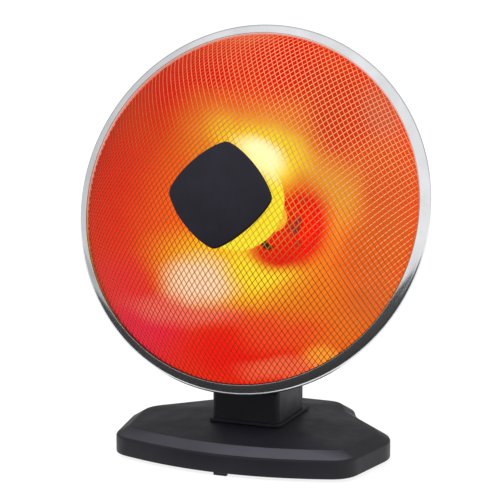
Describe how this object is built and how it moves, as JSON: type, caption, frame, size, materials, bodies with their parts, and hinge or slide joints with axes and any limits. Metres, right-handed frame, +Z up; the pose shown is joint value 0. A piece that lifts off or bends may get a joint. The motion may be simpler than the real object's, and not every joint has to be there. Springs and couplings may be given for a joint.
{
  "type": "parabolic heater",
  "caption": "Free-standing parabolic radiant heater: domed wire grille over a round reflector with a central element, tilting head on a swivelling neck and a low moulded base.",
  "frame": {"origin": "on the floor, under the neck's turning axis, which is at the middle of the bottom of the part's box", "axes": "+Z up, -Y the way the dish faces, +X to the right of someone who looks at the front"},
  "size_m": [0.32, 0.2118, 0.3704],
  "materials": {
    "black_plastic": "satin moulded plastic",
    "dark_plastic": "matte",
    "rubber": "matte",
    "steel": "zinc plated",
    "black_steel": "black oxide",
    "gear_plastic": "natural nylon",
    "fibre": "hard fibre",
    "reflector": "polished, lit by the element",
    "chrome": "polished",
    "wire": "bright plated",
    "badge": "satin, bare",
    "ceramic": "unglazed",
    "glowing_wire": "hot resistance wire",
    "brass": "plain",
    "shield": "heat-stained, lit by the element"
  },
  "bodies": {
    "base": {"base_cover": "black_plastic", "base_plate": "dark_plastic", "ballast_plate": "steel", "rubber_feet": "rubber", "base_screws": "steel", "oscillation_motor": "steel", "motor_screws": "steel", "slip_washer": "gear_plastic", "tip_switch": "dark_plastic", "tip_spring": "steel", "cord_gland": "rubber", "terminal_block": "gear_plastic"},
    "pinion": {"motor_pinion": "gear_plastic"},
    "plunger": {"tip_plunger": "black_plastic"},
    "neck": {"swivel_plate": "black_plastic", "swivel_screws": "steel", "retaining_ring": "steel", "sector_gear": "gear_plastic", "neck_front_shell": "black_plastic", "neck_rear_shell": "black_plastic", "neck_screws": "steel", "heat_switch": "dark_plastic", "heat_switch_nut": "steel", "oscillation_switch": "dark_plastic", "tilt_bolt": "steel", "tilt_nut": "steel", "friction_washers": "fibre"},
    "knob": {"heat_knob": "black_plastic"},
    "button": {"oscillation_button": "black_plastic"},
    "head": {"tilt_bracket": "steel", "hub_plate": "steel", "hub_screws": "steel", "reflector_dish": "reflector", "rim_band": "chrome", "front_grille": "wire", "badge_plate": "badge", "element_socket": "ceramic", "element_core": "ceramic", "element_coil": "glowing_wire", "element_rod": "steel", "element_terminals": "brass", "shield_plate": "shield", "shield_spider": "steel", "rear_housing": "black_plastic", "housing_screws": "black_steel", "thermal_cutout": "dark_plastic"}
  },
  "joints": [
    {"name": "swivel", "type": "hinge", "parent": "base", "child": "neck", "pos_m": [0, 0, 0.0316], "axis": [0, 0, 1], "range_deg": [-35, 35]},
    {"name": "tilt", "type": "hinge", "parent": "neck", "child": "head", "pos_m": [0, 0.032, 0.126], "axis": [-1, 0, 0], "range_deg": [-14, 12]},
    {"name": "motor_turn", "type": "hinge", "parent": "base", "child": "pinion", "pos_m": [-0.045, 0, 0.0243], "axis": [0, 0, 1], "range_deg": [-140, 140]},
    {"name": "heat_knob_turn", "type": "hinge", "parent": "neck", "child": "knob", "pos_m": [0, 0.031, 0.071], "axis": [0, 1, 0], "range_deg": [-120, 0]},
    {"name": "oscillation_press", "type": "slide", "parent": "neck", "child": "button", "axis": [0, -1, 0], "range_m": [0, 0.003], "stiffness_N_per_m": 300, "springref_m": -0.002},
    {"name": "tip_over", "type": "slide", "parent": "base", "child": "plunger", "axis": [0, 0, -1], "range_m": [0, 0.003], "stiffness_N_per_m": 100, "springref_m": 0.006, "deforming": ["tip_spring"]}
  ],
  "couplings": [
    {"joint": "motor_turn", "follows": "swivel", "ratio": -4}
  ]
}
